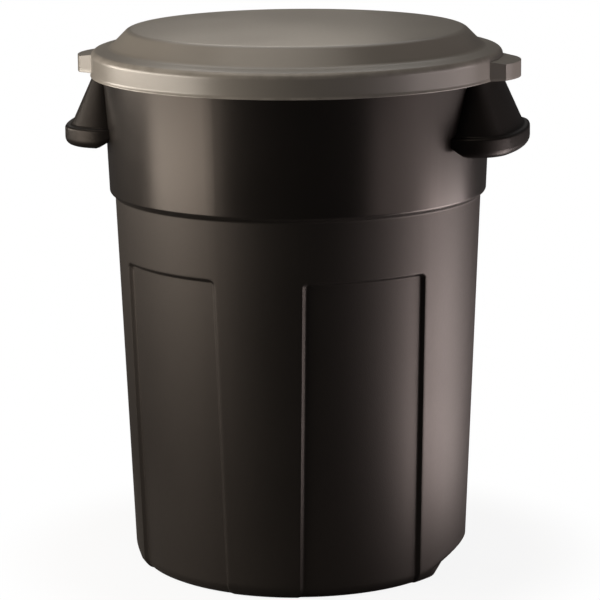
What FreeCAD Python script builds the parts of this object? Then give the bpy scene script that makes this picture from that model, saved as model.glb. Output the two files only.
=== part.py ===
import FreeCAD, Part
import os
import Sketcher
from FreeCAD import Placement, Rotation, Vector

# A round utility can with a lift-off lid, at full size in millimetres.
# It stands on z = 0 with its axis on Z, its plain front faces -Y and its handles lie along X.

SIZES = {
    # The container
    "body_height": (697, "floor to the top of the rim"),
    "wall_taper": (20.2, "how much the wall narrows from the waist to the floor"),
    "wall": (3.2, "thickness of the container wall"),
    "base_round": (14, "rounding of the outside bottom edge"),
    "floor_thickness": (4, "thickness of the floor"),
    "foot_height": (6, "how far the floor is held off the ground"),
    "foot_inset": (38.2, "outside of the base in to the inside of the outer foot ring"),
    "skid_radius": (112, "middle of the inner foot ring"),
    "skid_width": (10, "width of the inner foot ring"),
    # The raised band and the rim
    "band_height": (182, "rim top down to the lower edge of the band"),
    "band_step": (7.2, "how far the band stands out from the wall"),
    "band_slope": (10, "height of the slope under the band"),
    "band_taper": (7.2, "how much the band narrows from the rim down to its lower edge"),
    "rim_radius": (273, "outside of the rim"),
    "rim_overhang": (12.2, "rim out beyond the top of the band"),
    "rim_thickness": (4, "thickness of the rim flange"),
    "rim_lip": (5, "thickness of the turned-down rim lip"),
    "rim_depth": (12, "height of the rim lip"),
    "rim_round": (2, "rounding of the rim edges"),
    # The four sunk panels
    "panel_angle": (34.7, "middle of a panel from the front or back, degrees"),
    "panel_width": (174, "width of a panel"),
    "panel_gap": (76, "band slope down to the top of a panel"),
    "panel_depth": (5.5, "how far a panel is sunk"),
    "panel_corner": (9, "rounding of the upper panel corners"),
    # The finger scoops at the foot of the wall, under the handles
    "scoop_inset": (28, "how far a scoop reaches in at the floor"),
    "scoop_angle": (41, "slope of a scoop from level, degrees"),
    # The hood handles
    "hood_angle": (50, "sweep of a hood round the can, degrees"),
    "hood_overhang": (30.5, "rim out to the outside of the roof at the top of the grip"),
    "shoulder_inset": (11.2, "rim in to the outside of the roof under the rim flange"),
    "hood_wall": (4, "thickness of the roof"),
    "hood_corner": (38, "rounding of the hood corners seen from above"),
    "grip_overhang": (8.5, "how far the rolled grip stands out from the roof"),
    "grip_top": (95.5, "rim top down to the top of the grip"),
    "grip_height": (26.5, "height of the rolled grip"),
    "grip_thickness": (12.5, "thickness of the rolled grip"),
    "grip_round": (7, "rounding of the grip edges"),
    # The lid
    "lid_clearance": (0.5, "gap between the rim and the lid skirt"),
    "lid_wall": (3, "thickness of the lid"),
    "skirt_depth": (28.5, "rim top down to the lower edge of the skirt"),
    "brim_height": (4, "rim top up to the outer edge of the shoulder"),
    "brim_round": (8, "rounding of the outer top edge of the lid"),
    "seat_width": (6, "width of the land that rests on the rim"),
    "cone_inset": (23, "rim in to the foot of the raised middle of the lid"),
    "cone_height": (8.5, "rim top up to the foot of the raised middle"),
    "cone_run": (24, "foot of the raised middle in to the edge of the flat top"),
    "plateau_height": (32.5, "rim top up to the edge of the flat top"),
    "crown": (3, "how much the flat top swells in the middle"),
    "ring_gap": (3, "gap between the mouth and the locating ring"),
    "ring_wall": (2.6, "thickness of the locating ring"),
    "ring_depth": (12, "rim top down to the foot of the locating ring"),
    # The finger tabs on the lid
    "tab_angle": (17.5, "sweep of a tab round the lid, degrees"),
    "tab_reach": (25.4, "skirt out to the outside of the tab"),
    "tab_wall": (3.5, "thickness of a tab"),
    "tab_drop": (4, "rim top down to the top of the tab at the skirt"),
    "tab_fall": (3, "how far the top of the tab falls on its way out"),
    "tab_round": (3, "rounding of the outer tab edges"),
}

doc = FreeCAD.newDocument("utility_can")
sheet = doc.addObject("Spreadsheet::Sheet", "Sizes")
for row, (alias, (value, meaning)) in enumerate(SIZES.items(), start=1):
    sheet.set(f"A{row}", alias)
    sheet.set(f"B{row}", str(value))
    sheet.setAlias(f"B{row}", alias)
    sheet.set(f"C{row}", meaning)
doc.recompute()

UPRIGHT = Placement(Vector(0, 0, 0), Rotation(Vector(1, 0, 0), 90))
Z_AXIS = Vector(0, 0, 1)


def number(expression):
    """The value of an expression written with the names of the sheet."""
    return float(sheet.evalExpression(expression))


def outline(sketch, corners):
    """Draws a closed outline whose corners are (across, up) pairs of expressions."""
    spots = [(number(across), number(up)) for across, up in corners]
    count = len(spots)
    for i in range(count):
        start = Vector(*spots[i], 0)
        end = Vector(*spots[(i + 1) % count], 0)
        sketch.addGeometry(Part.LineSegment(start, end))
    for i in range(count):
        sketch.addConstraint(Sketcher.Constraint("Coincident", i, 2, (i + 1) % count, 1))
    for i in range(count):
        for kind, axis, expression, value in (
            ("DistanceX", -2, corners[i][0], spots[i][0]),
            ("DistanceY", -1, corners[i][1], spots[i][1]),
        ):
            if expression == "0":
                sketch.addConstraint(Sketcher.Constraint("PointOnObject", i, 1, axis))
                continue
            index = sketch.addConstraint(Sketcher.Constraint(kind, -1, 1, i, 1, value))
            name = f"{kind}{i}"
            sketch.renameConstraint(index, name)
            sketch.setExpression(f"Constraints.{name}", expression)
    return sketch


def section(name, corners):
    """An upright outline in the XZ plane, standing by itself."""
    sketch = doc.addObject("Sketcher::SketchObject", name + "_outline")
    sketch.Placement = UPRIGHT
    return outline(sketch, corners)


def turned(name, corners, sweep="360"):
    """A solid turned about Z from an upright outline, its sweep centred on +X."""
    solid = doc.addObject("Part::Revolution", name)
    solid.Source = section(name, corners)
    solid.Axis = Z_AXIS
    solid.Symmetric = True
    solid.Solid = True
    solid.setExpression("Angle", sweep)
    doc.recompute()
    return solid


def rounded(name, base, radius, wanted):
    """Rounds the edges of a solid that the test picks out."""
    size = number(radius)
    edges = [(i, size, size) for i, edge in enumerate(base.Shape.Edges, start=1) if wanted(edge)]
    if not edges:
        raise RuntimeError(f"{name}: no edge to round")
    solid = doc.addObject("Part::Fillet", name)
    solid.Base = base
    solid.Edges = edges
    doc.recompute()
    return solid


def cut(name, base, tool):
    """The base with the tool taken out of it."""
    solid = doc.addObject("Part::Cut", name)
    solid.Base = base
    solid.Tool = tool
    doc.recompute()
    if solid.Shape.Volume >= base.Shape.Volume:
        raise RuntimeError(f"{name}: nothing was cut away")
    return solid


def fused(name, shapes):
    """Several solids joined into one."""
    solid = doc.addObject("Part::MultiFuse", name)
    solid.Shapes = shapes
    doc.recompute()
    return solid


def mirrored(name, source, normal):
    """The mirror image of a solid across a plane through the axis of the can."""
    twin = doc.addObject("Part::Mirroring", name)
    twin.Source = source
    twin.Normal = normal
    doc.recompute()
    return twin


def near(a, b):
    """Whether two lengths are the same, but for rounding."""
    return abs(a - b) < 1e-4


def ring_edge(radius, height):
    """A test for the full circle of this radius at this height."""
    r = number(radius)
    z = number(height)

    def test(edge):
        box = edge.BoundBox
        return near(box.ZMin, z) and near(box.ZMax, z) and near(box.XMax, r) and near(box.XMin, -r)

    return test


def upright_edge(radius):
    """A test for the outer corner edges of a part turned only some of the way round."""
    r = number(radius)

    def test(edge):
        ends = [vertex.Point for vertex in edge.Vertexes]
        if len(ends) < 2 or near(ends[0].z, ends[1].z):
            return False
        return all((p.x**2 + p.y**2) ** 0.5 > r for p in ends)

    return test


# Heights and radii that several pieces share
RIM_TOP = "Sizes.body_height"
RIM_UNDER = "Sizes.body_height - Sizes.rim_thickness"
LIP_FOOT = "Sizes.body_height - Sizes.rim_depth"
LIP_INSIDE = "Sizes.rim_radius - Sizes.rim_lip"
BAND_TOP = "(Sizes.rim_radius - Sizes.rim_overhang)"
BAND_RADIUS = f"({BAND_TOP} - Sizes.band_taper)"
WAIST_RADIUS = f"({BAND_RADIUS} - Sizes.band_step)"
BASE_RADIUS = f"({WAIST_RADIUS} - Sizes.wall_taper)"
FOOT_RADIUS = f"({BASE_RADIUS} - Sizes.foot_inset)"
BAND_FOOT = "Sizes.body_height - Sizes.band_height"
WAIST = "Sizes.body_height - Sizes.band_height - Sizes.band_slope"
FLOOR_TOP = "Sizes.foot_height + Sizes.floor_thickness"
PANEL_TOP = "Sizes.body_height - Sizes.band_height - Sizes.band_slope - Sizes.panel_gap"
WALL_LEAN = f"Sizes.wall_taper / ({WAIST})"

# The outside of the container, as a full turned form with the foot rings under it
SKID_IN = "Sizes.skid_radius - Sizes.skid_width / 2"
SKID_OUT = "Sizes.skid_radius + Sizes.skid_width / 2"
outer_form = turned("outer_form", [
    ("0", "Sizes.foot_height"),
    (SKID_IN, "Sizes.foot_height"),
    (SKID_IN, "0"),
    (SKID_OUT, "0"),
    (SKID_OUT, "Sizes.foot_height"),
    (FOOT_RADIUS, "Sizes.foot_height"),
    (FOOT_RADIUS, "0"),
    (BASE_RADIUS, "0"),
    (WAIST_RADIUS, WAIST),
    (BAND_RADIUS, BAND_FOOT),
    (BAND_TOP, RIM_UNDER),
    (LIP_INSIDE, RIM_UNDER),
    (LIP_INSIDE, LIP_FOOT),
    ("Sizes.rim_radius", LIP_FOOT),
    ("Sizes.rim_radius", RIM_TOP),
    ("0", RIM_TOP),
])
outer_base = rounded("outer_base", outer_form, "Sizes.base_round", ring_edge(BASE_RADIUS, "0"))
outer_rim = rounded("outer_rim", outer_base, "Sizes.rim_round", ring_edge("Sizes.rim_radius", RIM_TOP))
outer = rounded("outer", outer_rim, "Sizes.rim_round", ring_edge("Sizes.rim_radius", LIP_FOOT))

# The inside of the container follows the outside, one wall thickness in
INSIDE_BASE = f"{BASE_RADIUS} - Sizes.wall + {WALL_LEAN} * ({FLOOR_TOP})"
ABOVE_RIM = "Sizes.body_height + 10"
inner_form = turned("inner_form", [
    ("0", FLOOR_TOP),
    (INSIDE_BASE, FLOOR_TOP),
    (f"{WAIST_RADIUS} - Sizes.wall", WAIST),
    (f"{BAND_RADIUS} - Sizes.wall", BAND_FOOT),
    (f"{BAND_TOP} - Sizes.wall", RIM_UNDER),
    (f"{BAND_TOP} - Sizes.wall", ABOVE_RIM),
    ("0", ABOVE_RIM),
])
inner = rounded("inner", inner_form, "Sizes.base_round - Sizes.wall", ring_edge(INSIDE_BASE, FLOOR_TOP))


def panel_block(name, grow):
    """A block as wide as one panel, turned to face it, larger by grow on its sides and top."""
    block = doc.addObject("Part::Box", name + "_block")
    width = f"(Sizes.panel_width + 2 * {grow})"
    turn = "(Sizes.panel_angle - 90)"
    near_side = f"({BASE_RADIUS} / 2)"
    block.setExpression("Length", BASE_RADIUS)
    block.setExpression("Width", width)
    block.setExpression("Height", f"{PANEL_TOP} + {grow} + 10")
    block.Placement = Placement(Vector(0, 0, -10), Rotation(Z_AXIS, 1))
    block.setExpression("Placement.Rotation.Angle", turn)
    block.setExpression("Placement.Base.x", f"{near_side} * cos{turn} + {width} / 2 * sin{turn}")
    block.setExpression("Placement.Base.y", f"{near_side} * sin{turn} - {width} / 2 * cos{turn}")
    doc.recompute()
    top = number(f"{PANEL_TOP} + {grow}")

    def upper_corner(edge):
        box = edge.BoundBox
        return near(box.ZMin, top) and near(box.ZMax, top) and edge.Length > number(BASE_RADIUS) - 1

    return rounded(name + "_face", block, f"Sizes.panel_corner + {grow}", upper_corner)


def panel_core(name, sunk, bottom, corner):
    """The turned form that a panel is sunk down to."""
    radius = f"{BASE_RADIUS} - {sunk} + {WALL_LEAN} * ({bottom})"
    form = turned(name + "_form", [
        ("0", bottom),
        (radius, bottom),
        (f"{WAIST_RADIUS} - {sunk}", WAIST),
        ("0", WAIST),
    ])
    return rounded(name, form, corner, ring_edge(radius, bottom))


def scoop(name, inset):
    """A wedge that slopes away under the bottom edge, across the can at its +X side."""
    run = f"({inset}) / cos(Sizes.scoop_angle) * sin(Sizes.scoop_angle)"
    start = f"{BASE_RADIUS} - ({inset})"
    wedge = doc.addObject("Part::Extrusion", name)
    wedge.Base = section(name, [
        (start, "0"),
        (f"{BASE_RADIUS} + 20", "0"),
        (f"{BASE_RADIUS} + 20", f"{run} + 20 * tan(Sizes.scoop_angle)"),
    ])
    wedge.DirMode = "Custom"
    wedge.Dir = Vector(0, 1, 0)
    wedge.Symmetric = True
    wedge.Solid = True
    wedge.setExpression("LengthFwd", BASE_RADIUS)
    doc.recompute()
    return wedge


def two_of(name, tool):
    """A tool at the +X side and its mirror image at the -X side."""
    return [tool, mirrored(name + "_left", tool, Vector(1, 0, 0))]


def four_of(name, tool):
    """One panel tool and its mirror images, at both sides of the front and of the back."""
    front = two_of(name, tool)
    back = [mirrored(f"{name}_back_{i}", source, Vector(0, 1, 0)) for i, source in enumerate(front)]
    return front + back


# The panels and scoops are cut into the outside, and the inside steps in behind them
SUNK_INSIDE = "(Sizes.panel_depth + Sizes.wall)"
panel_floor = panel_core("panel_floor", "Sizes.panel_depth", "0", "Sizes.base_round")
panel_back = panel_core("panel_back", SUNK_INSIDE, FLOOR_TOP, "Sizes.base_round - Sizes.wall")
recess = cut("recess", panel_block("recess", "0"), panel_floor)
swelling = cut("swelling", panel_block("swelling", "Sizes.wall"), panel_back)
scoop_out = scoop("scoop_out", "Sizes.scoop_inset")
scoop_in = scoop("scoop_in", "Sizes.scoop_inset + Sizes.wall / sin(Sizes.scoop_angle)")
outside_tools = fused("outside_tools", four_of("recess", recess) + two_of("scoop_out", scoop_out))
inside_tools = fused("inside_tools", four_of("swelling", swelling) + two_of("scoop_in", scoop_in))
shaped_outside = cut("shaped_outside", outer, outside_tools)
shaped_inside = cut("shaped_inside", inner, inside_tools)
container = cut("container", shaped_outside, shaped_inside)

# A hood handle: a sloping roof under the rim with a thick rolled grip along its lower edge
HOOD_REACH = "(Sizes.rim_radius + Sizes.hood_overhang)"
HOOD_SHOULDER = "(Sizes.rim_radius - Sizes.shoulder_inset)"
GRIP_RADIUS = f"({HOOD_REACH} + Sizes.grip_overhang)"
GRIP_TOP = "Sizes.body_height - Sizes.grip_top"
GRIP_FOOT = "Sizes.body_height - Sizes.grip_top - Sizes.grip_height"
ROOF_FOOT = "Sizes.body_height - Sizes.grip_top - Sizes.grip_round"
ROOT = f"{BASE_RADIUS} - 30"
DEEP_ROOT = f"{ROOT} - 10"
ROOF_LEAN = f"({HOOD_REACH} - {HOOD_SHOULDER}) / (Sizes.grip_top - Sizes.rim_thickness)"
ROOF_INSET = f"Sizes.hood_wall * sqrt(1 + ({ROOF_LEAN}) ^ 2)"
WALL_TURN = f"2 * Sizes.hood_wall / {HOOD_REACH} * 180 / pi"


def blade(name, corners, sweep, corner):
    """A turned piece of one handle with its two outer corners rounded."""
    form = turned(name + "_form", corners, sweep)
    return rounded(name, form, corner, upright_edge(f"{ROOT} + 1"))


roof = blade("roof", [
    (ROOT, ROOF_FOOT),
    (f"{HOOD_REACH} + {ROOF_LEAN} * Sizes.grip_round", ROOF_FOOT),
    (HOOD_SHOULDER, RIM_UNDER),
    (ROOT, RIM_UNDER),
], "Sizes.hood_angle", "Sizes.hood_corner")
grip_bar = blade("grip_bar", [
    (ROOT, GRIP_FOOT),
    (GRIP_RADIUS, GRIP_FOOT),
    (GRIP_RADIUS, GRIP_TOP),
    (ROOT, GRIP_TOP),
], f"Sizes.hood_angle + {WALL_TURN}", "Sizes.hood_corner + Sizes.hood_wall")
upper_hollow = blade("upper_hollow", [
    (DEEP_ROOT, GRIP_TOP),
    (f"{HOOD_REACH} - {ROOF_INSET}", GRIP_TOP),
    (f"{HOOD_SHOULDER} - {ROOF_INSET} - {ROOF_LEAN} * Sizes.rim_thickness", RIM_TOP),
    (DEEP_ROOT, RIM_TOP),
], f"Sizes.hood_angle - {WALL_TURN}", "Sizes.hood_corner - Sizes.hood_wall")
lower_hollow = blade("lower_hollow", [
    (DEEP_ROOT, f"{GRIP_FOOT} - 10"),
    (f"{GRIP_RADIUS} - Sizes.grip_thickness", f"{GRIP_FOOT} - 10"),
    (f"{GRIP_RADIUS} - Sizes.grip_thickness", GRIP_TOP),
    (DEEP_ROOT, GRIP_TOP),
], f"Sizes.hood_angle - {WALL_TURN}", "Sizes.hood_corner - Sizes.hood_wall")


def grip_rim(edge):
    """The edges along the top and the foot of the grip bar, outside the can."""
    box = edge.BoundBox
    if not near(box.ZMin, box.ZMax):
        return False
    reach = max((v.Point.x ** 2 + v.Point.y ** 2) ** 0.5 for v in edge.Vertexes)
    return reach > number(f"{ROOT} + 1")


grip = rounded("grip", grip_bar, "Sizes.grip_round", grip_rim)
hood = cut("hood", fused("hood_solid", [roof, grip]), fused("hollow", [upper_hollow, lower_hollow]))
handle_right = cut("handle_right", hood, outer)
handle_left = mirrored("handle_left", handle_right, Vector(1, 0, 0))

# The lid: a turned shell that sits on the rim, with a skirt outside it and a ring inside the mouth
CONE_RADIUS = "(Sizes.rim_radius - Sizes.cone_inset)"
PLATEAU_RADIUS = f"({CONE_RADIUS} - Sizes.cone_run)"
SKIRT_IN = "Sizes.rim_radius + Sizes.lid_clearance"
SKIRT_OUT = f"{SKIRT_IN} + Sizes.lid_wall"
SKIRT_FOOT = "Sizes.body_height - Sizes.skirt_depth"
SEAT_IN = f"{SKIRT_IN} - Sizes.seat_width"
RING_OUT = f"{BAND_TOP} - Sizes.wall - Sizes.ring_gap"
RING_IN = f"{RING_OUT} - Sizes.ring_wall"
RING_FOOT = "Sizes.body_height - Sizes.ring_depth"
FOOT_UNDER = f"({CONE_RADIUS} - 0.5 * Sizes.lid_wall)"
FOOT_UNDER_Z = "(Sizes.body_height + Sizes.cone_height - 0.95 * Sizes.lid_wall)"
SHOULDER_FALL = f"(Sizes.cone_height - Sizes.brim_height) / ({SKIRT_OUT} - {CONE_RADIUS})"
BRIM = "Sizes.body_height + Sizes.brim_height"
PLATEAU = "Sizes.body_height + Sizes.plateau_height"


def under_shoulder(radius):
    """Height of the underside of the shoulder at this radius."""
    return f"{FOOT_UNDER_Z} - {SHOULDER_FALL} * ({radius} - {FOOT_UNDER})"


lid = doc.addObject("PartDesign::Body", "lid")
upright_plane = next(item for item in lid.Origin.OriginFeatures if item.Role == "XZ_Plane")
turn_axis = next(item for item in lid.Origin.OriginFeatures if item.Role == "Z_Axis")


def lid_sketch(name, corners):
    """An upright outline that belongs to the lid."""
    sketch = lid.newObject("Sketcher::SketchObject", name)
    sketch.AttachmentSupport = (upright_plane, [""])
    sketch.MapMode = "FlatFace"
    return outline(sketch, corners)


def lid_turn(name, corners, sweep):
    """A part of the lid turned about Z, its sweep centred on +X."""
    feature = lid.newObject("PartDesign::Revolution", name)
    feature.Profile = lid_sketch(name + "_outline", corners)
    feature.ReferenceAxis = (turn_axis, [""])
    feature.Midplane = True
    feature.setExpression("Angle", sweep)
    doc.recompute()
    return feature


def lid_round(name, base, radius, wanted):
    """Rounds the edges of the lid that the test picks out."""
    names = [f"Edge{i}" for i, edge in enumerate(base.Shape.Edges, start=1) if wanted(edge)]
    if not names:
        raise RuntimeError(f"{name}: no edge to round")
    feature = lid.newObject("PartDesign::Fillet", name)
    feature.Base = (base, names)
    feature.setExpression("Radius", radius)
    doc.recompute()
    return feature


shell = lid_turn("shell", [
    ("0", f"{PLATEAU} + Sizes.crown"),
    (PLATEAU_RADIUS, PLATEAU),
    (CONE_RADIUS, "Sizes.body_height + Sizes.cone_height"),
    (SKIRT_OUT, BRIM),
    (SKIRT_OUT, SKIRT_FOOT),
    (SKIRT_IN, SKIRT_FOOT),
    (SKIRT_IN, RIM_TOP),
    (SEAT_IN, RIM_TOP),
    (SEAT_IN, under_shoulder(SEAT_IN)),
    (RING_OUT, under_shoulder(RING_OUT)),
    (RING_OUT, RING_FOOT),
    (RING_IN, RING_FOOT),
    (RING_IN, under_shoulder(RING_IN)),
    (FOOT_UNDER, FOOT_UNDER_Z),
    (f"{PLATEAU_RADIUS} - 0.4 * Sizes.lid_wall", f"{PLATEAU} - Sizes.lid_wall"),
    ("0", f"{PLATEAU} + Sizes.crown - Sizes.lid_wall"),
], "360")
brim = lid_round("brim", shell, "Sizes.brim_round", ring_edge(SKIRT_OUT, BRIM))
plateau_edge = lid_round("plateau_edge", brim, "Sizes.lid_wall", ring_edge(PLATEAU_RADIUS, PLATEAU))

# A finger tab at each side: a plate out from the skirt with a lip turned down, open at both ends
TAB_OUT = f"{SKIRT_OUT} + Sizes.tab_reach"
TAB_LIP = f"{TAB_OUT} - Sizes.tab_wall"
TAB_ROOT = f"{SKIRT_IN} + Sizes.lid_wall / 2"
TAB_TOP = "Sizes.body_height - Sizes.tab_drop"
TAB_EDGE = f"{TAB_TOP} - Sizes.tab_fall"
tab = lid_turn("tab", [
    (TAB_ROOT, f"{TAB_TOP} - Sizes.tab_wall"),
    (TAB_LIP, f"{TAB_EDGE} - Sizes.tab_wall"),
    (TAB_LIP, SKIRT_FOOT),
    (TAB_OUT, SKIRT_FOOT),
    (TAB_OUT, TAB_EDGE),
    (TAB_ROOT, TAB_TOP),
], "Sizes.tab_angle")
tabs = lid.newObject("PartDesign::PolarPattern", "tabs")
tabs.Originals = [tab]
tabs.Axis = (turn_axis, [""])
tabs.Angle = 360
tabs.Occurrences = 2
lid.Tip = tabs
doc.recompute()


def tab_rim(edge):
    """The outer top edge of each tab and the two corners that come down from it."""
    box = edge.BoundBox
    ends = [(v.Point.x ** 2 + v.Point.y ** 2) ** 0.5 for v in edge.Vertexes]
    return len(ends) == 2 and near(box.ZMax, number(TAB_EDGE)) and near(min(ends), number(TAB_OUT))


tab_edges = lid_round("tab_edges", tabs, "Sizes.tab_round", tab_rim)
lid.Tip = tab_edges
doc.recompute()

# Every object is sound, and each piece is written out under its own name
for item in doc.Objects:
    if "Invalid" in item.State or "Error" in item.State:
        raise RuntimeError(f"{item.Label}: {item.State}")
os.makedirs("parts", exist_ok=True)
for piece in (container, handle_left, handle_right, lid):
    shape = piece.Shape
    if shape.isNull() or not shape.isValid() or len(shape.Solids) != 1:
        raise RuntimeError(f"{piece.Label}: not one sound solid")
    shape.exportStep(f"parts/{piece.Label}.step")
    box = shape.BoundBox
    print(f"{piece.Label}: {box.XLength:.1f} x {box.YLength:.1f} x {box.ZLength:.1f} mm, "
          f"{shape.Volume / 1000:.0f} cm3")
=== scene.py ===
# %% [markdown]
# A round utility can is two plastic mouldings. The container is a tapered tub with a raised band,
# four sunk panels and a hood handle at each side. The lid is a shallow dome that lifts straight off.
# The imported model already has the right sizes, so it is loaded first and every size below hangs on it.
# The looks are then built piece by piece as clean meshes with soft edges, and each one stands for
# the solid of the same part.

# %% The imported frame
import math

import bmesh
import bpy
from mathutils import Matrix, Vector


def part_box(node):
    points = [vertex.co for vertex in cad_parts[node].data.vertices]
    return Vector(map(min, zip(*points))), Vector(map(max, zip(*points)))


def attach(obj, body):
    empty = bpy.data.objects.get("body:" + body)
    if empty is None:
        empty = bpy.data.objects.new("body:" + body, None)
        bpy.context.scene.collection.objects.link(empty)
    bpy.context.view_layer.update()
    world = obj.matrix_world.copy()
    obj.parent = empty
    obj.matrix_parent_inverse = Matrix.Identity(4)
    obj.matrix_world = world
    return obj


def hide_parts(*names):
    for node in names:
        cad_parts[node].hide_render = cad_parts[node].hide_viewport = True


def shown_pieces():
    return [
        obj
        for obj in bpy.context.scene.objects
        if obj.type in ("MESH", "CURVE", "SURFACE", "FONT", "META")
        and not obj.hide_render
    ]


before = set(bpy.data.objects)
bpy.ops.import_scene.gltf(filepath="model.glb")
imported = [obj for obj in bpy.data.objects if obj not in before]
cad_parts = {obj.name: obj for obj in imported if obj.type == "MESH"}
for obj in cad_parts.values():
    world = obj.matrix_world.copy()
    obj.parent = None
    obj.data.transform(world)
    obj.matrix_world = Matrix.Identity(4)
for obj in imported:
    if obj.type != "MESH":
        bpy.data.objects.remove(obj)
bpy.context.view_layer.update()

MM = 0.001
container_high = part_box("container")[1] / MM
lid_low, lid_high = (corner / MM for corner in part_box("lid"))
handle_low, handle_high = (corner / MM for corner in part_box("handle_right"))

# %% [markdown]
# Moulded things like this are mostly turned shapes, so they start as an outline on the XZ plane.
# The corners of the outline are rounded with a vertex bevel while it is still a wire, which is far
# simpler than finding the same edges on the finished body. Rows that are needed later, where a panel
# ends or a tab grows out, are cut into the wire with a plane. A spin then turns it about the Z axis.
# The spin runs in stretches, so that columns can be close together where detail will need them.

# %% Outlines and spinning
Z_AXIS = Vector((0, 0, 1))
CENTRE = Vector((0, 0, 0))
SAME_PLACE = 0.01 * MM


def outline(bm, corners, closed=False, segments=5):
    """A wire of (across, up, rounding) corners in millimetres, on the XZ plane."""
    verts = [bm.verts.new((across * MM, 0, up * MM)) for across, up, rounding in corners]
    for first, second in zip(verts, verts[1:]):
        bm.edges.new((first, second))
    if closed:
        bm.edges.new((verts[-1], verts[0]))
    for vert, (across, up, rounding) in zip(verts, corners):
        if rounding:
            bmesh.ops.bevel(
                bm, geom=[vert], offset=rounding * MM, segments=segments, profile=0.5,
                affect="VERTICES", material=-1,
            )


def add_rows(bm, heights):
    """Cuts the wire at these heights in millimetres, so that the spun mesh has rows there."""
    for height in heights:
        bmesh.ops.bisect_plane(
            bm, geom=bm.verts[:] + bm.edges[:], dist=SAME_PLACE,
            plane_co=(0, 0, height * MM), plane_no=Z_AXIS,
        )


def tidy(bm):
    """Closes seams and poles, then turns every face outwards."""
    bmesh.ops.remove_doubles(bm, verts=bm.verts, dist=SAME_PLACE)
    bmesh.ops.dissolve_degenerate(bm, edges=bm.edges, dist=SAME_PLACE)
    bmesh.ops.recalc_face_normals(bm, faces=bm.faces)


def spin_round(bm, stretches):
    """Spins the wire about Z through stretches of (degrees, steps) that make a full turn."""
    ring = bm.verts[:] + bm.edges[:]
    for degrees, steps in stretches:
        spun = bmesh.ops.spin(
            bm, geom=ring, cent=CENTRE, axis=Z_AXIS, angle=math.radians(degrees), steps=steps,
        )
        ring = spun["geom_last"]
    tidy(bm)


# %% [markdown]
# Plastic is smooth along its curves and crisp at the few edges that the mould leaves sharp. A mesh could
# be given enough faces to look smooth by itself, but shading does it for less. The whole mesh is shaded
# smooth, edges past a limit angle stay sharp, and a Weighted Normal modifier lets the large faces lead,
# so that a flat area still looks flat next to its rounded edge.

# %% Finished pieces
SHARP_FROM = math.radians(35)


def finished(name, bm, body, nodes):
    """Makes the mesh an object that rides on a body and stands for its solids."""
    open_edges = sum(1 for edge in bm.edges if len(edge.link_faces) != 2)
    mesh = bpy.data.meshes.new(name)
    bm.to_mesh(mesh)
    bm.free()
    mesh.shade_smooth()
    mesh.set_sharp_from_angle(angle=SHARP_FROM)
    piece = bpy.data.objects.new(name, mesh)
    bpy.context.scene.collection.objects.link(piece)
    even = piece.modifiers.new("even_shading", "WEIGHTED_NORMAL")
    even.keep_sharp = True
    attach(piece, body)
    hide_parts(*nodes)
    print(name, len(mesh.polygons), "faces, open edges:", open_edges)


# %% [markdown]
# The container is one wall that runs from the foot rings up to a rim with a turned-down lip, and
# back down inside. Drawing both sides of that wall as a single outline gives a closed solid with an
# even thickness, and nothing has to be thickened afterwards. At the step under the band the inner
# corners lie a little higher than the outer ones, so that the sloping wall is as thick as the rest.

# %% The outline of the container
RIM_TOP = container_high.z
RIM_RADIUS = container_high.y
WALL = 3.2
RIM_THICKNESS = 4
LIP_WIDTH = 5
LIP_DEPTH = 12
BAND_TOP_RADIUS = RIM_RADIUS - 12.2
BAND_FOOT_RADIUS = BAND_TOP_RADIUS - 7.2
BAND_FOOT = RIM_TOP - 184.5
WAIST_RADIUS = BAND_FOOT_RADIUS - 7.2
WAIST = BAND_FOOT - 5
STEP_RISE = 1.7
BASE_RADIUS = WAIST_RADIUS - 20.2
BASE_ROUND = 14
FOOT_RADIUS = BASE_RADIUS - 38.2
FOOT_HEIGHT = 6
FOOT_ROUND = 1.5
FLOOR_TOP = FOOT_HEIGHT + 4
SKID_RADIUS = 112
SKID_WIDTH = 10
WALL_LEAN = (WAIST_RADIUS - BASE_RADIUS) / WAIST

skid_in = SKID_RADIUS - SKID_WIDTH / 2
skid_out = SKID_RADIUS + SKID_WIDTH / 2
rim_under = RIM_TOP - RIM_THICKNESS
lip_foot = RIM_TOP - LIP_DEPTH
lip_inside = RIM_RADIUS - LIP_WIDTH
container_outline = [
    (0, FOOT_HEIGHT, 0),
    (skid_in, FOOT_HEIGHT, FOOT_ROUND),
    (skid_in, 0, FOOT_ROUND),
    (skid_out, 0, FOOT_ROUND),
    (skid_out, FOOT_HEIGHT, FOOT_ROUND),
    (FOOT_RADIUS, FOOT_HEIGHT, FOOT_ROUND),
    (FOOT_RADIUS, 0, FOOT_ROUND),
    (BASE_RADIUS, 0, BASE_ROUND),
    (WAIST_RADIUS, WAIST, 2),
    (BAND_FOOT_RADIUS, BAND_FOOT, 2.5),
    (BAND_TOP_RADIUS, rim_under, 2),
    (lip_inside, rim_under, 2),
    (lip_inside, lip_foot, 1.2),
    (RIM_RADIUS, lip_foot, 1.8),
    (RIM_RADIUS, RIM_TOP, 2),
    (BAND_TOP_RADIUS - WALL, RIM_TOP, 2.5),
    (BAND_FOOT_RADIUS - WALL, BAND_FOOT + STEP_RISE, 2),
    (WAIST_RADIUS - WALL, WAIST + STEP_RISE, 2),
    (BASE_RADIUS - WALL + WALL_LEAN * FLOOR_TOP, FLOOR_TOP, BASE_ROUND - WALL),
    (0, FLOOR_TOP, 0),
]
print("container outline:", len(container_outline), "corners")

# %% [markdown]
# The panels and scoops of the wall, which come next, need vertices along their edges. The whole wall
# could be subdivided until it is fine enough, but that spends most faces where nothing happens. Here
# the spin takes small steps beside the edges of the panels and wide ones elsewhere, and rows are set
# close together where a panel ends and around the scoops.

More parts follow.
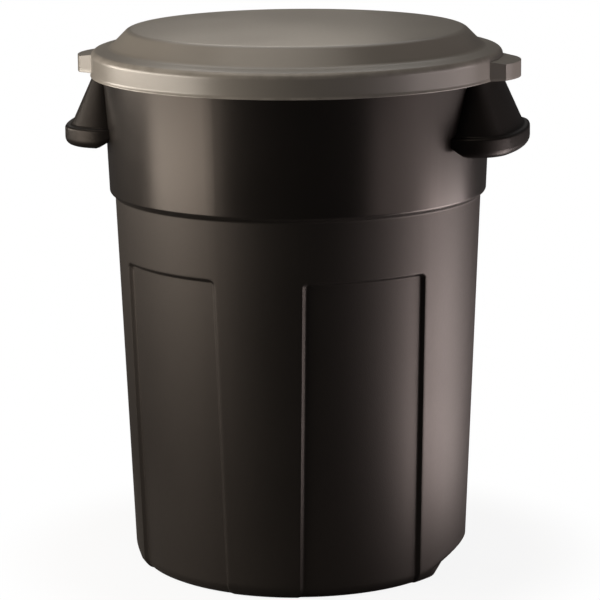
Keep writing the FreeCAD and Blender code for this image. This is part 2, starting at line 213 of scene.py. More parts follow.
# %% Rows and columns of the container
PANEL_ANGLE = 55.3
PANEL_HALF = 87
PANEL_TOP = WAIST - 78.5
EDGE_OUT = 5
EDGE_IN = 8
MEAN_RADIUS = (BASE_RADIUS + WAIST_RADIUS) / 2


def turn_for(offset, radius=MEAN_RADIUS):
    """Degrees from the middle of a panel to a line this far beside it, at this radius."""
    return math.degrees(math.asin(offset / radius))


outer_turn = turn_for(PANEL_HALF + EDGE_OUT)
inner_turn = turn_for(PANEL_HALF - EDGE_IN)
quarter = [
    (PANEL_ANGLE - outer_turn, 16),
    (outer_turn - inner_turn, 9),
    (2 * inner_turn, 20),
    (outer_turn - inner_turn, 9),
    (90 - PANEL_ANGLE - outer_turn, 6),
]
scoop_rows = [BASE_ROUND + 2 * step for step in range(1, 12)]
wall_rows = [60, 100, 150, 200, 250, 300, 350, 390]
panel_rows = [PANEL_TOP + offset for offset in (-12, -8, -6, -5, -4, -3, -2, -1, 0, 1.5, 5)]
band_rows = [BAND_FOOT + offset for offset in (40, 80, 120, 150)]

container_bm = bmesh.new()
outline(container_bm, container_outline)
add_rows(container_bm, scoop_rows + wall_rows + panel_rows + band_rows)
spin_round(container_bm, 2 * (quarter + quarter[::-1]))
print("container grid:", len(container_bm.verts), "vertices")

# %% [markdown]
# A mould has no bare steps: every change of level is eased in, and every inside corner is filled a
# little. Bevels could do that after the shapes are cut. When vertices are moved by a formula instead,
# the formula itself can be soft, so these few small functions stand in for many bevels.

# %% Soft steps
def ease(share):
    """Rises smoothly from 0 to 1 as share does."""
    share = min(1, max(0, share))
    return share * share * (3 - 2 * share)


def between(value, marks, results):
    """Reads a value off a line of marks and results, straight between them."""
    for i in range(len(marks) - 1):
        if value < marks[i + 1]:
            break
    share = (value - marks[i]) / (marks[i + 1] - marks[i])
    return results[i] + share * (results[i + 1] - results[i])


def soft_min(first, second, width):
    """The lesser of two, with the corner between them rounded."""
    overlap = max(0, width - abs(first - second)) / width
    return min(first, second) - overlap * overlap * width / 4


# %% [markdown]
# Four shallow panels are sunk into the wall, two at the front and two at the back, and a flat scoop
# at each side of the base gives fingers a hold when the can is tipped. They could be cut with
# booleans, but cuts leave hard edges and slivers. A moulded wall simply steps in there at its full
# thickness, so its vertices are moved in instead. Each function below answers one question about a
# point of the wall: where its column should run, how far inside a panel it lies, and how far out a
# scoop lets it stand.

# %% Panels and scoops
PANEL_CORNER = 9
SCOOP_INSET = 25
SCOOP_DRAFT = 0.12
SCOOP_STEP = 15
SCOOP_ROOF = math.radians(30)
SCOOP_EASE = 4
SCOOP_TUCK = 3
TUCK_HEIGHT = 5
COMBED_FROM = 200


def combed(angle, radius):
    """Shifts a column so that it keeps its distance from the edge of the panel at any radius."""
    if radius < COMBED_FROM:
        return angle
    at_mean = turn_for(PANEL_HALF)
    at_radius = turn_for(PANEL_HALF, radius)
    marks = [0, PANEL_ANGLE - at_mean, PANEL_ANGLE, PANEL_ANGLE + at_mean, 90]
    places = [0, PANEL_ANGLE - at_radius, PANEL_ANGLE, PANEL_ANGLE + at_radius, 90]
    return between(angle, marks, places)


def inside_panel(angle, radius, height):
    """How far a point lies inside the outline of the nearest panel, in millimetres."""
    offset = radius * math.sin(math.radians(angle - PANEL_ANGLE))
    across = abs(offset) - (PANEL_HALF - PANEL_CORNER)
    up = height - (PANEL_TOP - PANEL_CORNER)
    outside = math.hypot(max(across, 0), max(up, 0))
    return PANEL_CORNER - outside - min(max(across, up), 0)


def scoop_limit(height, inner):
    """How far from the plane between the handles a scoop lets the wall stand at this height."""
    start = BASE_RADIUS - SCOOP_INSET - (WALL if inner else 0)
    step = SCOOP_STEP + (WALL / math.cos(SCOOP_ROOF) if inner else 0)
    tuck = SCOOP_TUCK * max(0, 1 - height / TUCK_HEIGHT) ** 2
    upright = start + SCOOP_DRAFT * height - tuck
    roof = start + (height - step) / math.tan(SCOOP_ROOF)
    return -soft_min(-upright, -roof, SCOOP_EASE)


# %% [markdown]
# Now every vertex of the wall below the band is moved in once. Both sides of the wall follow the same
# rules, shifted by the wall thickness on the inner side, so the wall stays as thick as it was. Near
# the ground the ribs between the panels fade into the rounded base edge.

# %% The wall moved in
PANEL_DEPTH = 5.5
PANEL_EASE = 5
RIB_FADE_FROM = 3
RIB_FADE_TO = 20
RIB_FALL = 0.5
MOVED_FROM = FOOT_RADIUS - 1
ON_FLOOR = 0.1


def is_inner(radius, height):
    """Whether a point belongs to the inner side of the wall or floor."""
    middle_of_wall = BASE_RADIUS + WALL_LEAN * height - WALL / 2
    return height > FLOOR_TOP - ON_FLOOR and radius < middle_of_wall


for vert in container_bm.verts:
    x, y, z = vert.co / MM
    radius = math.hypot(x, y)
    if radius < MOVED_FROM or z > BAND_FOOT:
        continue
    angle = combed(math.degrees(math.atan2(abs(y), abs(x))), radius)
    inner = is_inner(radius, z)
    depth_in = inside_panel(angle, radius, z) + (WALL if inner else 0)
    in_panel = ease(depth_in / PANEL_EASE)
    at_foot = 0 if inner else 1 - ease((z - RIB_FADE_FROM) / (RIB_FADE_TO - RIB_FADE_FROM))
    sunk = radius - PANEL_DEPTH * max(in_panel, RIB_FALL * at_foot)
    across = sunk * math.cos(math.radians(angle))
    along = sunk * math.sin(math.radians(angle))
    across = soft_min(across, scoop_limit(z, inner), SCOOP_EASE)
    vert.co.x = math.copysign(across * MM, x)
    vert.co.y = math.copysign(along * MM, y)
finished("can_body", container_bm, "can", ["container"])

# %% [markdown]
# A handle is a hood: a sloping roof that comes out from under the rim, with a thick rolled grip along
# its lower edge. It could be shaped from a box, but its cross-section is the same nearly all the way
# along, so the section is drawn once and will be driven round a path. The roof has its thickness square
# to its slope, so its inner line is set in by a little more than that.

# %% The section of a hood
HOOD_SHOULDER = RIM_RADIUS - 11.2
HOOD_REACH = RIM_RADIUS + 30.5
GRIP_RADIUS = handle_high.x
GRIP_TOP = RIM_TOP - 95.5
GRIP_FOOT = handle_low.z
GRIP_THICKNESS = 13
HOOD_WALL = 4

roof_lean = (HOOD_REACH - HOOD_SHOULDER) / (rim_under - GRIP_TOP)
roof_inset = HOOD_WALL * math.hypot(1, roof_lean)
grip_inside = GRIP_RADIUS - GRIP_THICKNESS
inner_knee = GRIP_TOP + (HOOD_REACH - roof_inset - grip_inside) / roof_lean
hood_section = [
    (HOOD_SHOULDER, rim_under, 0),
    (HOOD_REACH, GRIP_TOP, 2.5),
    (GRIP_RADIUS, GRIP_TOP, 3.5),
    (GRIP_RADIUS, GRIP_FOOT, 11),
    (grip_inside, GRIP_FOOT, 1.4),
    (grip_inside, inner_knee, 4),
    (HOOD_SHOULDER - roof_inset, rim_under, 0),
]
print("hood section:", len(hood_section), "corners, roof set in by", round(roof_inset, 2), "mm")

# %% [markdown]
# On the real can the hood and the band are one moulding, so no gap may show between them. The ends of
# the hood are sunk into the band by half its wall, and nothing goes deeper, so the inside of the can
# stays smooth. The lower edge rises a little where the ends run back to the band, and the upper sides
# are turned a little further round the can, which makes them stand more upright.

# %% Where a hood meets the band
SINK = 1.6
SIDE_TURN = 0.1        # the top of a side turns further by this share of its angle
END_LIFT = 9
END_RUN = 15


def reach(point):
    """Distance of a point from the axis, in millimetres."""
    return math.hypot(point.x, point.y) / MM


def band_radius(height):
    """Outside of the band at this height."""
    share = (height - BAND_FOOT) / (rim_under - BAND_FOOT)
    return BAND_FOOT_RADIUS + share * (BAND_TOP_RADIUS - BAND_FOOT_RADIUS)


def end_lift(point):
    """How far the lower edge rises where the ends of a hood run back to the band."""
    height = point.z / MM
    low = ease((GRIP_TOP - height) / (GRIP_TOP - GRIP_FOOT))
    beyond = max(0, reach(point) - band_radius(height))
    return END_LIFT * low * max(0, 1 - beyond / END_RUN)


def pull_to_band(vert, inward):
    """Moves a vertex along a level direction until it lies just under the surface of the band."""
    wanted = (band_radius(vert.co.z / MM) - SINK) * MM
    flat = Vector((vert.co.x, vert.co.y, 0))
    along = flat.dot(inward)
    aside = flat.length_squared - along * along
    vert.co += inward * (-math.sqrt(wanted * wanted - aside) - along)


def settle(vert):
    """Lifts the ends, turns the upper sides and keeps the vertex out of the inside of the can."""
    above = max(0, vert.co.z / MM - GRIP_TOP) / (rim_under - GRIP_TOP)
    vert.co.z += end_lift(vert.co) * MM
    turn = SIDE_TURN * above * math.atan2(vert.co.y, vert.co.x)
    vert.co = Matrix.Rotation(turn, 3, "Z") @ vert.co
    least = band_radius(vert.co.z / MM) - SINK
    if reach(vert.co) < least:
        vert.co.xy *= least / reach(vert.co)


# %% [markdown]
# The path has three parts on each side. A spin of the section about the axis of the can makes half the
# front, a spin about a corner makes the rounded end, and a short straight run takes the side back to
# the band, where the end is filled. The left handle is the right one with its X turned round, so its
# normals are worked out again at the very end.

# %% The hood handles
HOOD_TURN = 25
CORNER_RING = BAND_TOP_RADIUS - 6
FRONT_STEPS = 10
CORNER_STEPS = 18

corner_turn = math.degrees(math.asin((HOOD_REACH - CORNER_RING) / CORNER_RING))
front_turn = math.radians(HOOD_TURN - corner_turn)
round_turn = math.radians(90 + corner_turn)
end_turn = math.radians(HOOD_TURN)


def parts_of(kind, geometry):
    """The parts of one kind, such as vertices, in what an operator gives back."""
    return [part for part in geometry if isinstance(part, kind)]


def hood_half(bm, section, way):
    """Drives the section from the middle of a hood to its end, towards +Y for 1 or -Y for -1."""
    front = bmesh.ops.spin(
        bm, geom=section, cent=CENTRE, axis=Z_AXIS, angle=way * front_turn, steps=FRONT_STEPS,
    )["geom_last"]
    corner = Vector((math.cos(front_turn), way * math.sin(front_turn), 0)) * CORNER_RING * MM
    turned = bmesh.ops.spin(
        bm, geom=front, cent=corner, axis=Z_AXIS, angle=way * round_turn, steps=CORNER_STEPS,
    )["geom_last"]
    edges = parts_of(bmesh.types.BMEdge, turned)
    pulled = bmesh.ops.extrude_edge_only(bm, edges=edges)["geom"]
    inward = Vector((-math.cos(end_turn), -way * math.sin(end_turn), 0))
    for vert in parts_of(bmesh.types.BMVert, pulled):
        pull_to_band(vert, inward)
    bmesh.ops.edgeloop_fill(bm, edges=parts_of(bmesh.types.BMEdge, pulled))


def hood(side):
    """The mesh of one handle, on the +X side for 1 or the -X side for -1."""
    bm = bmesh.new()
    outline(bm, hood_section, closed=True, segments=6)
    section = bm.verts[:] + bm.edges[:]
    for way in (1, -1):
        hood_half(bm, section, way)
    tidy(bm)
    for vert in bm.verts:
        settle(vert)
        vert.co.x *= side
    bmesh.ops.recalc_face_normals(bm, faces=bm.faces)
    return bm


for name, side in (("handle_right", 1), ("handle_left", -1)):
    finished("hood_" + name, hood(side), "can", [name])

# %% [markdown]
# The lid is one more turned shell: a flat crown, a steep cone, a nearly flat shoulder and a skirt that
# hangs outside the rim, with a thin ring under it that centres the lid in the mouth. The crown swells a
# little, as a moulded plate does when it cools, so its rows follow a shallow arc.

# %% The outline of the lid
SKIRT_FOOT = lid_low.z
SKIRT_OUT = lid_high.y
LID_WALL = 3
SKIRT_IN = SKIRT_OUT - LID_WALL
FLARE = 1.2
FLARE_TOP = 3.6
FLARE_FOOT = 1.2
BRIM_TOP = RIM_TOP + 4
BRIM_ROUND = 7
CONE_RADIUS = RIM_RADIUS - 23
CONE_FOOT = RIM_TOP + 8.5
CONE_INSET = 0.4 * LID_WALL
PLATEAU_RADIUS = CONE_RADIUS - 24
PLATEAU = RIM_TOP + 32.5
CROWN = lid_high.z - PLATEAU
CROWN_ROWS = 9
SEAT_IN = SKIRT_IN - 6
RING_OUT = BAND_TOP_RADIUS - WALL - 3
RING_IN = RING_OUT - 2.6
RING_FOOT = RIM_TOP - 12

shoulder_fall = (CONE_FOOT - BRIM_TOP) / (SKIRT_OUT - CONE_RADIUS)


def crown_height(radius):
    """Height of the swollen flat top at this radius."""
    return PLATEAU + CROWN * (1 - (radius / PLATEAU_RADIUS) ** 2)


def under_shoulder(radius):
    """Height of the underside of the shoulder at this radius."""
    return CONE_FOOT - shoulder_fall * (radius - CONE_RADIUS) - LID_WALL


crown_steps = [PLATEAU_RADIUS * step / CROWN_ROWS for step in range(CROWN_ROWS)]
crown_top = [(radius, crown_height(radius), 0) for radius in crown_steps]
crown_under = [(radius, crown_height(radius) - LID_WALL, 0) for radius in reversed(crown_steps)]
lid_outline = crown_top + [
    (PLATEAU_RADIUS, PLATEAU, 5),
    (CONE_RADIUS, CONE_FOOT, 4),
    (SKIRT_OUT - FLARE, BRIM_TOP, BRIM_ROUND),
    (SKIRT_OUT - FLARE, SKIRT_FOOT + FLARE_TOP, 2),
    (SKIRT_OUT, SKIRT_FOOT + FLARE_FOOT, 0.6),
    (SKIRT_OUT, SKIRT_FOOT, 0.6),
    (SKIRT_IN, SKIRT_FOOT, 0.8),
    (SKIRT_IN, RIM_TOP, 0.8),
    (SEAT_IN, RIM_TOP, 0.8),
    (SEAT_IN, under_shoulder(SEAT_IN), 0.8),
    (RING_OUT, under_shoulder(RING_OUT), 1),
    (RING_OUT, RING_FOOT, 0.8),
    (RING_IN, RING_FOOT, 0.8),
    (RING_IN, under_shoulder(RING_IN), 1),
    (CONE_RADIUS - CONE_INSET, CONE_FOOT - LID_WALL, 4),
    (PLATEAU_RADIUS - CONE_INSET, PLATEAU - LID_WALL, 4),
] + crown_under
print("lid outline:", len(lid_outline), "corners, crown swells by", round(CROWN, 2), "mm")

# %% [markdown]
# A finger tab stands out at each side of the lid, right above the handles: a small box with slanted
# ends and a sloping top, open below, so that fingertips can lift it. It is part of the same moulding, so
# it is grown out of the skirt and not set on it. These functions say how: a row of faces is extruded
# and its new vertices are moved, first out to the lip of the tab and later up into the pocket under it.

# %% How a tab grows
TAB_ROOT_TURN = 11.5
TAB_LIP_HALF = 46
TAB_TOP = RIM_TOP - 4
TAB_WALL = 3.5
TAB_FALL = 3
TAB_OUT = lid_high.x
TAB_BOW = 6


def grown(bm, faces, place):
    """Extrudes faces and moves each new vertex with the given function."""
    made = bmesh.ops.extrude_face_region(bm, geom=faces)["geom"]
    bmesh.ops.delete(bm, geom=faces, context="FACES")
    for vert in parts_of(bmesh.types.BMVert, made):
        place(vert)


def pushed_out(vert):
    """Moves a vertex of the skirt out to the lip of its tab, which is narrower and lower."""
    share_up = (vert.co.z / MM - SKIRT_FOOT) / (TAB_TOP - SKIRT_FOOT)
    turn = math.atan2(vert.co.y, abs(vert.co.x))
    narrowed = TAB_LIP_HALF / (TAB_OUT * math.sin(math.radians(TAB_ROOT_TURN)))
    out = TAB_OUT * math.cos(turn) - TAB_BOW * (turn / math.radians(TAB_ROOT_TURN)) ** 2
    vert.co.x = math.copysign(out * MM, vert.co.x)
    vert.co.y = TAB_OUT * math.sin(turn) * narrowed * MM
    vert.co.z -= TAB_FALL * ease(share_up) * MM


def pushed_up(vert):
    """Moves a vertex up to the ceiling of the pocket under a tab."""
    vert.co.z = (TAB_TOP - TAB_FALL - TAB_WALL) * MM


# %% [markdown]
# The faces and edges of the tabs are found by where they lie, because indices change with every step.
# The skirt is spun with columns that end where a tab does. Its faces there are extruded, the underside
# is inset and pushed up, and last the sharp edges beyond the skirt are bevelled.

# %% The lid with its tabs
TAB_EDGE = 1.3
TAB_SHARP = math.radians(30)
REST_TURN = 180 - 2 * TAB_ROOT_TURN
NEAR = 1               # slack in millimetres when faces are found by their place
OFF_FOOT = 0.05
LEVEL = 0.9            # least upright part of the normal of a level face

lid_bm = bmesh.new()
outline(lid_bm, lid_outline)
add_rows(lid_bm, [TAB_TOP])
spin_round(lid_bm, 2 * [(TAB_ROOT_TURN, 8), (REST_TURN, 96), (TAB_ROOT_TURN, 8)])


def is_root(face):
    """Whether a tab grows out of this face of the skirt."""
    spot = face.calc_center_median()
    turn = math.degrees(math.atan2(spot.y, abs(spot.x)))
    upright = SKIRT_FOOT + OFF_FOOT < spot.z / MM < TAB_TOP
    return upright and reach(spot) > SKIRT_OUT - 2 * NEAR and abs(turn) < TAB_ROOT_TURN


def is_underside(face):
    """Whether a face is level and lies under a tab."""
    spot = face.calc_center_median()
    low = abs(face.normal.z) > LEVEL and spot.z / MM < SKIRT_FOOT + NEAR
    return low and reach(spot) > SKIRT_OUT + 2 * NEAR


def is_tab_edge(edge):
    """Whether a sharp edge belongs to a tab."""
    sharp = edge.is_manifold and edge.calc_face_angle() > TAB_SHARP
    return sharp and min(reach(vert.co) for vert in edge.verts) > SKIRT_OUT + NEAR


root_faces = [face for face in lid_bm.faces if is_root(face)]
grown(lid_bm, root_faces, pushed_out)
lid_bm.normal_update()
undersides = [face for face in lid_bm.faces if is_underside(face)]
bmesh.ops.inset_region(
    lid_bm, faces=undersides, thickness=TAB_WALL * MM, use_even_offset=True, use_boundary=True,
)
grown(lid_bm, undersides, pushed_up)
tidy(lid_bm)
tab_edges = [edge for edge in lid_bm.edges if is_tab_edge(edge)]
bmesh.ops.bevel(
    lid_bm, geom=tab_edges, offset=TAB_EDGE * MM, segments=3, profile=0.5, affect="EDGES",
    material=-1, clamp_overlap=True,
)
tidy(lid_bm)
print("tab roots:", len(root_faces), "undersides:", len(undersides))
finished("lid_shell", lid_bm, "lid", ["lid"])

# %% [markdown]
# Finishes are written as sums on sockets. A small class wraps one output of a node, so that an
# expression such as 1 - mask adds the Math nodes it needs, and every other node comes from one method.

# %% Shader sums
class Shade:
    """One output of a material's nodes, which takes part in plain sums."""

    def __init__(self, tree, socket=None):
        self.tree = tree
        self.socket = socket

    def add(self, kind, settings, inputs, output=0):
        """A new node with these settings and inputs; gives back one of its outputs."""
        made = self.tree.nodes.new(kind)
        for name, value in settings.items():
            setattr(made, name, value)
        for name, value in inputs.items():
            if isinstance(value, Shade):
                self.tree.links.new(value.socket, made.inputs[name])
            else:
                made.inputs[name].default_value = value
        return Shade(self.tree, made.outputs[output])

    def sum(self, operation, first, second):
        """A Math node on two values."""
        return self.add("ShaderNodeMath", {"operation": operation}, {0: first, 1: second})

    def __add__(self, other):
        return self.sum("ADD", self, other)

    __radd__ = __add__

    def __mul__(self, other):
        return self.sum("MULTIPLY", self, other)

    __rmul__ = __mul__

    def __sub__(self, other):
        return self.sum("SUBTRACT", self, other)

    def __rsub__(self, other):
        return self.sum("SUBTRACT", other, self)

    def rising(self, start, end):
        """0 below start, 1 above end, and smooth between them."""
        return self.add(
            "ShaderNodeMapRange", {"interpolation_type": "SMOOTHSTEP"},
            {"Value": self, "From Min": start, "From Max": end},
        )


# %% [markdown]
# Three kinds of node come up again and again: soft noise, a mix of two colours and the length or dot
# product of vectors. Each gets a short function. Noise reads Object coordinates, so that a pattern
# keeps its size in metres and stays on its piece when the piece moves.

# %% Noise, colours and vectors
COLOUR_A = 6           # sockets of a Mix node, by number because several share a name
COLOUR_B = 7
COLOUR_RESULT = 2


def noise(tree, place, scale, detail):
    """Soft noise on the object's own coordinates, with this many swells to the metre."""
    return tree.add(
        "ShaderNodeTexNoise", {}, {"Vector": place, "Scale": scale, "Detail": detail}, "Fac"
    )


def mixed(tree, share, first, second):
    """A colour between two colours."""
    return tree.add(
        "ShaderNodeMix", {"data_type": "RGBA"},
        {"Factor": share, COLOUR_A: first, COLOUR_B: second}, COLOUR_RESULT,
    )


def length(tree, vector):
    """The length of a vector."""
    return tree.add("ShaderNodeVectorMath", {"operation": "LENGTH"}, {0: vector}, "Value")


def share_along(tree, vector, direction):
    """How much of a vector lies along a direction."""
    return tree.add(
        "ShaderNodeVectorMath", {"operation": "DOT_PRODUCT"}, {0: vector, 1: direction}, "Value"
    )


# %% [markdown]
# Both mouldings are dyed right through, so there is no paint to chip. What shows on them is the fine
# grain that the mould was etched with, faint clouds where the plastic flowed, and a little more sheen
# where the mould was polished, as it is on the band. Edges that rub are paler and smoother in patches,
# and along the brim of the lid that paler colour is partly wear and partly a painted highlight.
# A picture could carry all this, but noise needs no unwrapping and holds up close by. The grain is a
# bump of well under a tenth of a millimetre, so it breaks up the highlights and is never seen as dents.
# Roughness has a lower limit, because a smoother lid showed bright specks.

# %% A moulded plastic
CLOUDS = (7, 3)        # a pattern's swells to the metre, and its detail
SCUFFS = (42, 5)
PITS = (190, 4)
GRAIN = (620, 2)
CLOUD_RANGE = (0.25, 0.75)
SCUFF_RANGE = (0.3, 0.62)
CLOUD_UNEVENNESS = 0.08
PIT_UNEVENNESS = 0.06
RUBBED_SMOOTHER = 0.08
SMOOTHEST = 0.28
PALE_GAIN = 1.2
PIT_SHARE = 0.6
POLISHED_FLATTER = 0.7
POLISH_EDGE = 0.004
BUMP_STRENGTH = 0.35


def plastic(name, dark, light, sheen, roughness, polish_from, polish, grain_depth, index, paler_where):
    """A moulded plastic. Above the height polish_from its roughness falls by polish, and where the mask
    that its last argument makes from (tree, place, height) is 1 it is paler and smoother, which is wear
    and, on the brim of the lid, partly a painted highlight."""
    material = bpy.data.materials.new(name)
    material.use_nodes = True
    tree = Shade(material.node_tree)
    place = tree.add("ShaderNodeTexCoord", {}, {}, "Object")
    height = tree.add("ShaderNodeSeparateXYZ", {}, {0: place}, "Z")
    clouds = noise(tree, place, *CLOUDS)
    grain = noise(tree, place, *GRAIN)
    pits = noise(tree, place, *PITS)
    scuffs = noise(tree, place, *SCUFFS)
    polished = height.rising(polish_from - POLISH_EDGE, polish_from + POLISH_EDGE)
    pale_patches = paler_where(tree, place, height) * scuffs.rising(*SCUFF_RANGE)

    fresh = mixed(tree, clouds.rising(*CLOUD_RANGE), (*dark, 1), (*light, 1))
    pale = tuple(PALE_GAIN * part for part in light)
    # paler in the patches: wear, and along the brim of the lid partly a painted highlight
    colour = mixed(tree, pale_patches, fresh, (*pale, 1))
    uneven = CLOUD_UNEVENNESS * (clouds - 0.5) + PIT_UNEVENNESS * (pits - 0.5)
    rough = roughness + uneven - polish * polished - RUBBED_SMOOTHER * pale_patches
    relief = (grain + PIT_SHARE * pits) * (1 - POLISHED_FLATTER * polished)
    bump = tree.add(
        "ShaderNodeBump", {}, {"Height": relief, "Strength": BUMP_STRENGTH, "Distance": grain_depth}
    )

    shader = material.node_tree.nodes["Principled BSDF"]
    links = material.node_tree.links
    links.new(colour.socket, shader.inputs["Base Color"])
    links.new(tree.sum("MAXIMUM", rough, SMOOTHEST).socket, shader.inputs["Roughness"])
    links.new(bump.socket, shader.inputs["Normal"])
    shader.inputs["IOR"].default_value = index
    shader.inputs["Specular Tint"].default_value = (*sheen, 1)
    print(name, len(material.node_tree.nodes), "nodes")
    return material


# %% [markdown]
# Each moulding wears in its own places: the lid along its brim and the edge of its skirt, the container
# where it is dragged over the ground, and the handles where hands hold them. Along the brim the paler
# colour is partly wear and partly a painted highlight. The wear could be painted by hand. Here a mask is
# worked out from heights and radii that are known already, so it stays on its edge if a size changes.

# %% Where it wears, and the painted highlight on the brim
BRIM_PALE_FROM = 8     # all in millimetres from the edge that is named
BRIM_PALE_FULL = 5
SKIRT_WEAR_FULL = 2
SKIRT_WEAR_TO = 4
BASE_WEAR_FULL = 3
BASE_WEAR_TO = 16
GRIP_WEAR_FULL = -4
GRIP_WEAR_TO = 2


def lid_wear_and_brim_highlight(tree, place, height):
    """The worn lower edge of the skirt, and the rounded brim, whose paler colour is partly wear and
    partly a painted highlight.
    """
    flat = tree.add("ShaderNodeVectorMath", {"operation": "MULTIPLY"}, {0: place, 1: (1, 1, 0)})
    out = length(tree, flat)
    # a paler band along the brim: partly wear, partly a painted highlight
    outer = out.rising((SKIRT_OUT - BRIM_PALE_FROM) * MM, (SKIRT_OUT - BRIM_PALE_FULL) * MM)
    upper = height.rising((BRIM_TOP - BRIM_PALE_FROM) * MM, (BRIM_TOP - BRIM_PALE_FULL) * MM)
    above = height.rising((SKIRT_FOOT + SKIRT_WEAR_FULL) * MM, (SKIRT_FOOT + SKIRT_WEAR_TO) * MM)
    return tree.sum("MAXIMUM", outer * upper, 1 - above)


def worn_base(tree, place, height):
    """The lowest edge of the container, which is dragged over the ground."""
    return 1 - height.rising(BASE_WEAR_FULL * MM, BASE_WEAR_TO * MM)


def worn_grip(tree, place, height):
    """The rolled edge of a handle, which hands polish."""
    return 1 - height.rising((GRIP_TOP + GRIP_WEAR_FULL) * MM, (GRIP_TOP + GRIP_WEAR_TO) * MM)


# %% [markdown]
# The black of the body is a very dark, warm brown with a slightly brown sheen, rough on the wall and
# smoother on the band. The hoods are a darker copy of the same plastic, held at its darkest tone and
# given a lower refractive index so that they reflect less: painted shade on the hoods. The grey lid is
# smooth all over. A colour in Blender is linear, so the black here is a much smaller number than a
# colour picker would show.

# %% The two plastics
BODY_DARK = (0.0072, 0.006, 0.0054)
BODY_LIGHT = (0.0088, 0.0074, 0.0067)
BODY_SHEEN = (1, 0.9, 0.84)
LID_DARK = (0.19, 0.177, 0.16)
LID_LIGHT = (0.212, 0.198, 0.18)
LID_SHEEN = (1, 1, 1)
ABOVE_ALL = 1.0        # a height in metres that no piece reaches

body_finish = plastic(
    "black_body_plastic", BODY_DARK, BODY_LIGHT, BODY_SHEEN, roughness=0.52,
    polish_from=BAND_FOOT * MM, polish=0.22, grain_depth=0.00025, index=1.5, paler_where=worn_base,
)
# the hoods: a darker, less reflective copy of the body plastic, as painted shade
shaded_hood_finish = plastic(
    "black_hood_plastic_painted_shade", BODY_DARK, BODY_DARK, BODY_SHEEN, roughness=0.45,
    polish_from=ABOVE_ALL, polish=0.0, grain_depth=0.00025, index=1.3, paler_where=worn_grip,
)
lid_finish = plastic(
    "grey_lid_plastic", LID_DARK, LID_LIGHT, LID_SHEEN, roughness=0.3,
    polish_from=ABOVE_ALL, polish=0.0, grain_depth=0.0001, index=1.58, paler_where=lid_wear_and_brim_highlight,
)
finishes = {"can_body": body_finish, "lid_shell": lid_finish}
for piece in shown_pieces():
    piece.data.materials.clear()
    piece.data.materials.append(finishes.get(piece.name, shaded_hood_finish))
    print(piece.name, "is made of", piece.data.materials[0].name)

# %% [markdown]
# The can stands on a pale floor that ends in white. A real white floor would throw light up at the can
# and wash out the black, so this one is grey to everything but the camera. To the camera it glows
# white, and near the can a little of its glow gives way to a matte surface that shows a soft shadow.

# %% The floor
FLOOR_RADIUS = 0.5
FLOOR_GREY = (0.18, 0.18, 0.18, 1)
FLOOR_ROUGHNESS = 0.8
SHADOW_GREY = (0.8, 0.8, 0.8, 1)
SHADOW_SHARE = 0.1
SHADOW_TO = 0.3
SHADOW_END = 0.47
WHITE = (1, 1, 1, 1)

floor_bm = bmesh.new()
bmesh.ops.create_circle(floor_bm, cap_ends=True, segments=96, radius=FLOOR_RADIUS)
floor_mesh = bpy.data.meshes.new("floor")
floor_bm.to_mesh(floor_mesh)
floor_bm.free()
floor = bpy.data.objects.new("floor", floor_mesh)
bpy.context.scene.collection.objects.link(floor)

floor_finish = bpy.data.materials.new("pale_floor")
floor_finish.use_nodes = True
floor_nodes = Shade(floor_finish.node_tree)
floor_shader = floor_finish.node_tree.nodes["Principled BSDF"]
floor_shader.inputs["Base Color"].default_value = FLOOR_GREY
floor_shader.inputs["Roughness"].default_value = FLOOR_ROUGHNESS
matte = Shade(floor_finish.node_tree, floor_shader.outputs[0])
shadowed = floor_nodes.add("ShaderNodeBsdfDiffuse", {}, {"Color": SHADOW_GREY})
glow = floor_nodes.add("ShaderNodeEmission", {}, {"Color": WHITE, "Strength": 1.0})
from_middle = length(floor_nodes, floor_nodes.add("ShaderNodeTexCoord", {}, {}, "Object"))
glow_share = 1 - SHADOW_SHARE * (1 - from_middle.rising(SHADOW_TO, SHADOW_END))
in_view = floor_nodes.add("ShaderNodeMixShader", {}, {0: glow_share, 1: shadowed, 2: glow})
by_eye = floor_nodes.add("ShaderNodeLightPath", {}, {}, "Is Camera Ray")
shown = floor_nodes.add("ShaderNodeMixShader", {}, {0: by_eye, 1: matte, 2: in_view})
floor_out = floor_finish.node_tree.nodes["Material Output"]
floor_finish.node_tree.links.new(shown.socket, floor_out.inputs["Surface"])
floor.data.materials.append(floor_finish)
print("floor:", len(floor_finish.node_tree.nodes), "nodes")

# %% [markdown]
# The world is dim, so that the lamps alone shape the can, but the camera sees it white. Shiny surfaces
# see white too in one patch, high up behind the can, where a studio has the top of its backdrop. The
# Light Path node tells the kinds of rays apart, which is simpler than a real white wall that would
# light the can from behind.

# %% The backdrop
VIEW_TURN = math.radians(12.75)
DIM = 0.045
PATCH_FOOT = (0.4, 0.6)        # where each side of the patch fades, as parts of a unit direction
PATCH_TOP = (0.8, 0.92)
PATCH_BEHIND = (0.25, 0.45)
PATCH_ASIDE = (0.02, 0.12)     # of the square, so that left and right are alike

world = bpy.data.worlds.new("studio")
bpy.context.scene.world = world
world.use_nodes = True
sky = Shade(world.node_tree)
by_camera = sky.add("ShaderNodeLightPath", {}, {}, "Is Camera Ray")
by_gloss = sky.add("ShaderNodeLightPath", {}, {}, "Is Glossy Ray")
by_glass = sky.add("ShaderNodeLightPath", {}, {}, "Is Transmission Ray")
looking = sky.add("ShaderNodeTexCoord", {}, {}, "Generated")
behind = share_along(sky, looking, (-math.sin(VIEW_TURN), math.cos(VIEW_TURN), 0))
aside = share_along(sky, looking, (math.cos(VIEW_TURN), math.sin(VIEW_TURN), 0))
upward = sky.add("ShaderNodeSeparateXYZ", {}, {0: looking}, "Z")
high_up = upward.rising(*PATCH_FOOT) * (1 - upward.rising(*PATCH_TOP))
middle = behind.rising(*PATCH_BEHIND) * (1 - (aside * aside).rising(*PATCH_ASIDE))
patch = middle * high_up
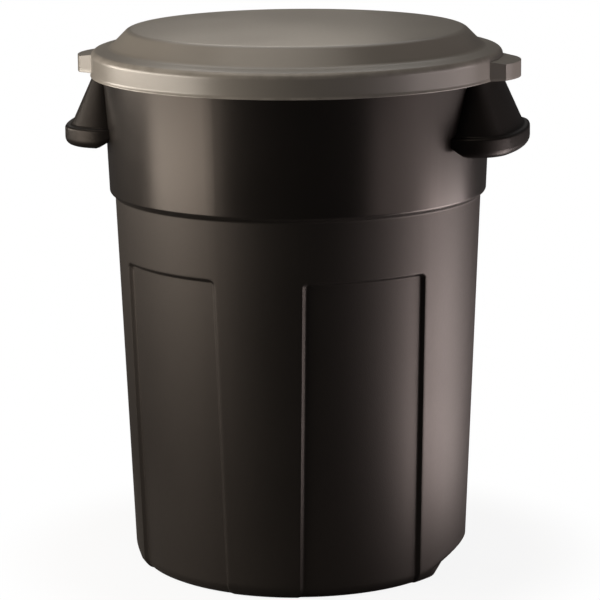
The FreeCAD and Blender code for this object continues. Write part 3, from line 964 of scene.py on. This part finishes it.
white_share = sky.sum("MINIMUM", by_camera + (by_gloss + by_glass) * patch, 1)
strength = DIM + (1 - DIM) * white_share
background = world.node_tree.nodes["Background"]
background.inputs["Color"].default_value = WHITE
world.node_tree.links.new(strength.socket, background.inputs["Strength"])
print("backdrop:", len(world.node_tree.nodes), "nodes")

# %% [markdown]
# A dark round thing shows its shape by what it reflects, so long lamps stand at its sides: two on the
# left and three on the right, some low for the wall and some level with the band and the lid. Two wide
# ones hang above it, and a small one behind it gives the crown its sheen. Brightness is that of the
# face of a lamp, so a lamp can be made larger without its reflection growing any brighter.

# %% The softboxes
WARM = (1, 0.9, 0.78)
ROSY = (1, 0.87, 0.85)


def softbox(name, turn, distance, height, aim_height, size, brightness, colour):
    """A soft lamp, turned so many degrees to the right of the camera as seen from the can. It
    stands at a distance from the axis and a height, and is aimed at a height on the axis. All
    lengths are in metres."""
    angle = VIEW_TURN - math.pi / 2 + math.radians(turn)
    place = Vector((distance * math.cos(angle), distance * math.sin(angle), height))
    aim = Vector((0, 0, aim_height)) - place
    lamp = bpy.data.lights.new(name, "AREA")
    lamp.shape = "RECTANGLE"
    lamp.size, lamp.size_y = size
    lamp.energy = brightness * math.pi * lamp.size * lamp.size_y
    lamp.color = colour
    holder = bpy.data.objects.new(name, lamp)
    holder.location = place
    holder.rotation_euler = aim.to_track_quat("-Z", "Y").to_euler()
    holder.visible_camera = False
    bpy.context.scene.collection.objects.link(holder)
    print(name, round(lamp.energy, 1), "watts")


softbox("left_softbox", -67, 1.05, 0.375, 0.38, (0.78, 0.21), 5.9, WARM)
softbox("left_strip", -84, 1.6, 0.72, 0.68, (2.2, 0.4), 10.4, WARM)
softbox("right_softbox", 94, 1.2, -0.1, 0.25, (0.85, 0.75), 8.2, ROSY)
softbox("right_fill", 58, 1.5, 0.24, 0.35, (0.9, 0.3), 1.4, ROSY)
softbox("right_strip", 82, 1.7, 0.68, 0.66, (1.6, 0.4), 2.3, ROSY)
softbox("front_top", -27, 0.45, 2.2, 0.7, (1.4, 1.2), 1.3, WARM)
softbox("top_softbox", -125, 0.5, 2.2, 0.7, (2.0, 1.8), 0.7, WARM)
softbox("back_softbox", 183, 1.6, 1.5, 0.72, (0.54, 0.5), 2.3, WARM)

# %% [markdown]
# The camera stands where the photographer stood: well back with a long lens, a little above the can
# and turned a little towards its right handle. It is placed with a matrix, because the photographer
# also held it a little crooked, and an aim at a target would straighten that.

# %% The camera
VIEW_DISTANCE = 3.885
VIEW_HEIGHT = 1.170
VIEW_DOWN = math.radians(11.83)
VIEW_ROLL = math.radians(-0.48)
VIEW_YAW = math.radians(-0.022)
IMAGE_WIDTH = 600
FOCAL_PIXELS = 2914
SENSOR_WIDTH = 36

camera_data = bpy.data.cameras.new("camera")
camera_data.sensor_width = SENSOR_WIDTH
camera_data.lens = FOCAL_PIXELS * SENSOR_WIDTH / IMAGE_WIDTH
camera = bpy.data.objects.new("camera", camera_data)
bpy.context.scene.collection.objects.link(camera)
bpy.context.scene.camera = camera
to_right = VIEW_DISTANCE * math.sin(VIEW_TURN)
to_front = VIEW_DISTANCE * math.cos(VIEW_TURN)
stand = Matrix.Translation((to_right, -to_front, VIEW_HEIGHT))
turned = Matrix.Rotation(VIEW_TURN + VIEW_YAW, 4, "Z")
tipped = Matrix.Rotation(math.pi / 2 - VIEW_DOWN, 4, "X")
rolled = Matrix.Rotation(VIEW_ROLL, 4, "Z")
camera.matrix_world = stand @ turned @ tipped @ rolled
bpy.context.scene.view_settings.view_transform = "Standard"
print("lens in mm:", round(camera_data.lens, 1))
